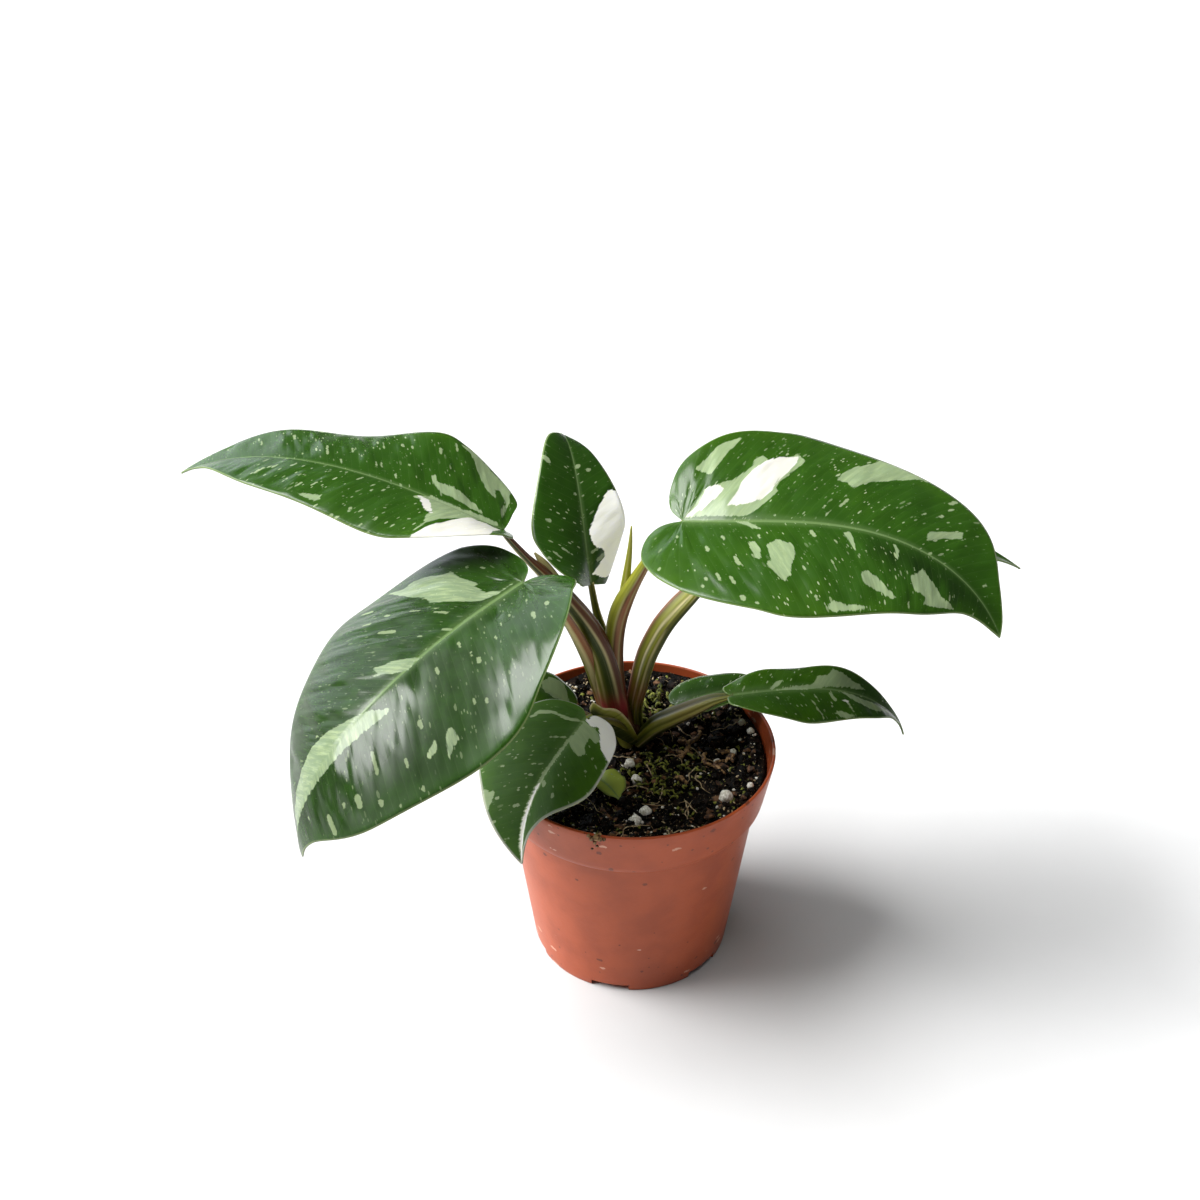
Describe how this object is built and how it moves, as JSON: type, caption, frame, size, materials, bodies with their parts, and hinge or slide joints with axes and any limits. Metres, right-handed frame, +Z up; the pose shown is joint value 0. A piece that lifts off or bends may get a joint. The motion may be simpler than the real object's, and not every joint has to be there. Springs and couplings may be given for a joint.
{
  "type": "potted philodendron",
  "caption": "Leafy aroid house plant with pointed, white-splashed leaves on sheathed stalks, growing from soil in a round nursery pot.",
  "frame": {"origin": "middle of the pot's underside, on the surface that it stands on", "axes": "+Z up out of the pot; +X along the plant's widest spread; -Y towards the viewer, the side with the large drooping leaf and the leaf that hangs over the rim"},
  "size_m": [0.3219, 0.1661, 0.2107],
  "materials": {
    "pot_plastic": "satin moulded polypropylene, terracotta brown",
    "potting_mix": "rough, damp peat and bark mix with perlite",
    "leaf": "waxy, smooth, variegated green, pale green and white",
    "stalk": "satin olive green with cream and pink stripes",
    "stem": "satin brownish green"
  },
  "bodies": {
    "root": {"pot": "pot_plastic", "soil": "potting_mix", "stem": "stem", "leaf_blade_upper_left": "leaf", "leaf_blade_front_left": "leaf", "leaf_blade_centre": "leaf", "leaf_blade_upper_right": "leaf", "leaf_blade_back_right": "leaf", "leaf_blade_low_right": "leaf", "leaf_blade_over_the_rim": "leaf", "leaf_blade_small_left": "leaf", "leaf_blade_small_right": "leaf", "leaf_blade_young": "leaf", "leaf_stalk_upper_right": "stalk", "leaf_stalk_back_right": "stalk", "leaf_stalk_upper_left": "stalk", "leaf_stalk_front_left": "stalk", "leaf_stalk_centre": "stalk", "leaf_stalk_low_right": "stalk", "leaf_stalk_over_the_rim": "stalk", "leaf_stalk_small_left": "stalk", "leaf_stalk_small_right": "stalk"}
  },
  "joints": []
}
